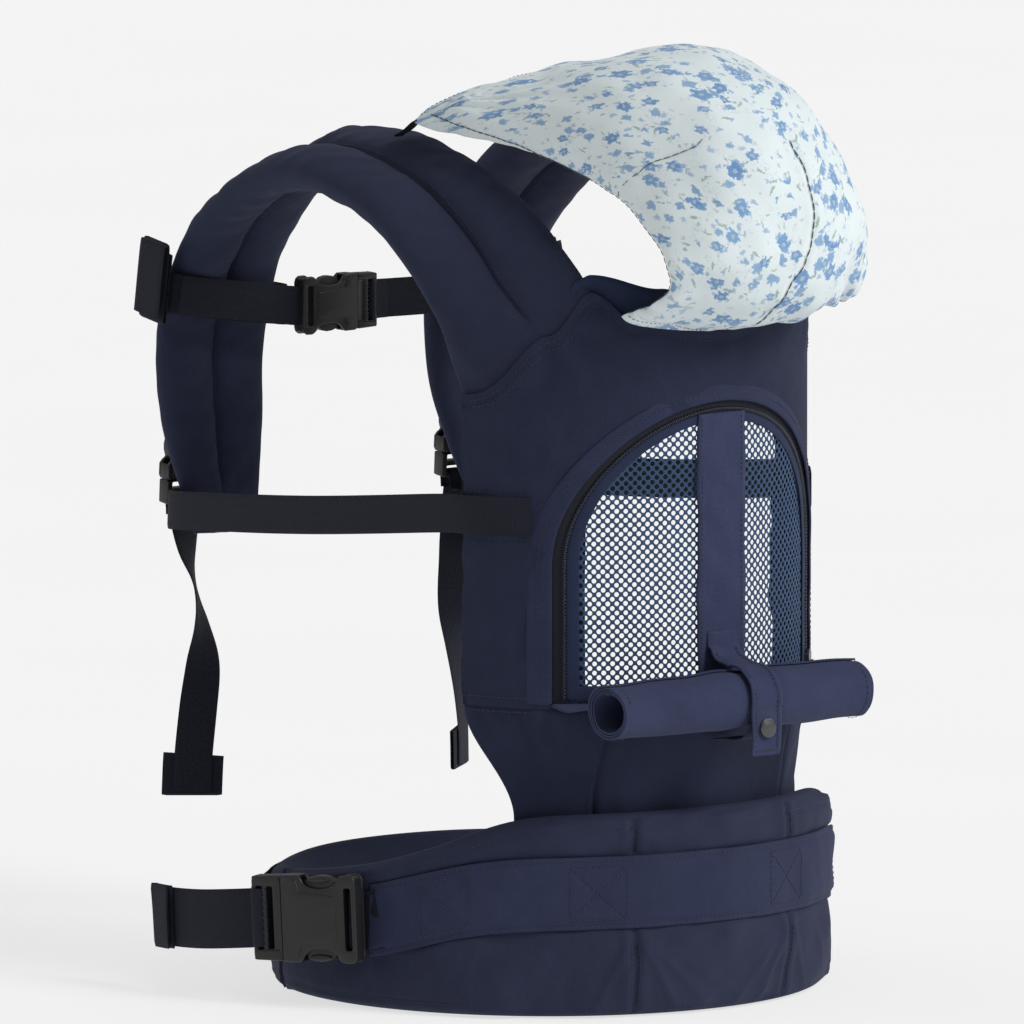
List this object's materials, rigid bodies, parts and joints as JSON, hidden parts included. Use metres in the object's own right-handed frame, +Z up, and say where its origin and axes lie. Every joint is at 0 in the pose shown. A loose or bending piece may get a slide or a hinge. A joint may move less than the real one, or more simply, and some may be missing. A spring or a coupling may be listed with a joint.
{
  "type": "soft baby carrier",
  "caption": "Soft structured baby carrier with padded belt and straps, zipped mesh window, side-release buckles and a sun hood.",
  "frame": {"origin": "centre of the bounding box's bottom face, on the plane that the waist belt stands on", "axes": "+Z up, -Y the panel's outside (away from the wearer), -X the wearer's right"},
  "size_m": [0.4094, 0.4916, 0.6115],
  "materials": {
    "canvas": "navy cotton twill canvas",
    "lining": "navy plain lining",
    "webbing": "ribbed navy webbing",
    "mesh": "open knitted mesh",
    "foam": "soft foam padding",
    "buckle": "matte moulded acetal",
    "zip_coil": "nylon coil",
    "snap_metal": "gunmetal lacquer",
    "hood_print": "printed cotton"
  },
  "bodies": {
    "carrier": {"body_panel_lining": "lining", "body_panel_outer": "canvas", "chest_buckle_plug": "buckle", "chest_buckle_socket": "buckle", "chest_webbing_end": "webbing", "flap_retaining_strap": "canvas", "flap_stud_tab": "canvas", "left_chest_loop": "webbing", "left_chest_webbing": "webbing", "left_side_buckle_plug": "buckle", "left_side_buckle_socket": "buckle", "left_side_tail": "webbing", "left_side_webbing": "webbing", "left_strap_buckle_tab": "webbing", "left_strap_cover": "canvas", "left_strap_inner_foam": "foam", "left_strap_outer_foam": "foam", "left_strap_yoke": "canvas", "mesh_window": "mesh", "right_chest_loop": "webbing", "right_chest_webbing": "webbing", "right_side_buckle_plug": "buckle", "right_side_buckle_socket": "buckle", "right_side_tail": "webbing", "right_side_webbing": "webbing", "right_strap_buckle_tab": "webbing", "right_strap_cover": "canvas", "right_strap_inner_foam": "foam", "right_strap_outer_foam": "foam", "right_strap_yoke": "canvas", "seat_panel": "canvas", "snap_stud": "snap_metal", "waist_belt_casing": "canvas", "waist_belt_cover": "canvas", "waist_belt_front_pad": "foam", "waist_belt_wing_pad": "foam", "waist_buckle_plug": "buckle", "waist_buckle_socket": "buckle", "waist_webbing": "webbing", "waist_webbing_tail": "webbing", "window_binding": "canvas", "window_center_band": "canvas", "window_flap_roll": "canvas", "zipper_coil": "zip_coil", "zipper_tape": "canvas"},
    "chest_latch_a": {"chest_buckle_arm_a": "buckle"},
    "chest_latch_b": {"chest_buckle_arm_b": "buckle"},
    "waist_latch_a": {"waist_buckle_arm_a": "buckle"},
    "waist_latch_b": {"waist_buckle_arm_b": "buckle"},
    "right_side_latch_a": {"right_side_buckle_arm_a": "buckle"},
    "right_side_latch_b": {"right_side_buckle_arm_b": "buckle"},
    "left_side_latch_a": {"left_side_buckle_arm_a": "buckle"},
    "left_side_latch_b": {"left_side_buckle_arm_b": "buckle"},
    "zip_slider": {"zipper_slider": "snap_metal"},
    "zip_pull": {"zipper_pull": "snap_metal"},
    "snap_tab": {"flap_snap_tab": "canvas", "snap_cap": "snap_metal"},
    "hood_body": {"hood": "hood_print", "right_hood_tie": "canvas", "left_hood_tie": "canvas"}
  },
  "joints": [
    {"name": "chest_press_a", "type": "hinge", "parent": "carrier", "child": "chest_latch_a", "pos_m": [0.00601, 0.18253, 0.4101], "axis": [0, 1, 0], "range_deg": [0, 6], "stiffness_Nm_per_rad": 0.6},
    {"name": "chest_press_b", "type": "hinge", "parent": "carrier", "child": "chest_latch_b", "pos_m": [0.00601, 0.18253, 0.4319], "axis": [0, -1, 0], "range_deg": [0, 6], "stiffness_Nm_per_rad": 0.6},
    {"name": "waist_press_a", "type": "hinge", "parent": "carrier", "child": "waist_latch_a", "pos_m": [-0.1829, 0.0082, 0.0771], "axis": [0.9166, 0.3998, 0], "range_deg": [0, 6], "stiffness_Nm_per_rad": 0.6},
    {"name": "waist_press_b", "type": "hinge", "parent": "carrier", "child": "waist_latch_b", "pos_m": [-0.18209, 0.00634, 0.03635], "axis": [-0.9166, -0.3998, 0], "range_deg": [0, 6], "stiffness_Nm_per_rad": 0.6},
    {"name": "right_side_press_a", "type": "hinge", "parent": "carrier", "child": "right_side_latch_a", "pos_m": [-0.07759, 0.23548, 0.3095], "axis": [0, -0.995, -0.1], "range_deg": [0, 6], "stiffness_Nm_per_rad": 0.6},
    {"name": "right_side_press_b", "type": "hinge", "parent": "carrier", "child": "right_side_latch_b", "pos_m": [-0.09939, 0.23548, 0.3095], "axis": [0, 0.995, 0.1], "range_deg": [0, 6], "stiffness_Nm_per_rad": 0.6},
    {"name": "left_side_press_a", "type": "hinge", "parent": "carrier", "child": "left_side_latch_a", "pos_m": [0.14641, 0.23548, 0.3095], "axis": [0, -0.995, -0.1], "range_deg": [0, 6], "stiffness_Nm_per_rad": 0.6},
    {"name": "left_side_press_b", "type": "hinge", "parent": "carrier", "child": "left_side_latch_b", "pos_m": [0.12461, 0.23548, 0.3095], "axis": [0, 0.995, 0.1], "range_deg": [0, 6], "stiffness_Nm_per_rad": 0.6},
    {"name": "zipper_slide", "type": "slide", "parent": "carrier", "child": "zip_slider", "axis": [0, 0, 1], "range_m": [0, 0.07]},
    {"name": "zipper_pull_swing", "type": "hinge", "parent": "zip_slider", "child": "zip_pull", "pos_m": [0.12442, -0.14426, 0.212], "axis": [-0.7331, -0.6801, 0], "range_deg": [0, 150]},
    {"name": "snap_tab_lift", "type": "hinge", "parent": "carrier", "child": "snap_tab", "pos_m": [0.02351, -0.22587, 0.1988], "axis": [-1, 0, 0], "range_deg": [0, 110]},
    {"name": "hood_fold", "type": "hinge", "parent": "carrier", "child": "hood_body", "pos_m": [0.02351, -0.18647, 0.444], "axis": [1, 0, 0], "range_deg": [0, 90]}
  ],
  "couplings": [
    {"joint": "chest_press_b", "follows": "chest_press_a", "ratio": 1},
    {"joint": "waist_press_b", "follows": "waist_press_a", "ratio": 1},
    {"joint": "right_side_press_b", "follows": "right_side_press_a", "ratio": 1},
    {"joint": "left_side_press_b", "follows": "left_side_press_a", "ratio": 1}
  ]
}
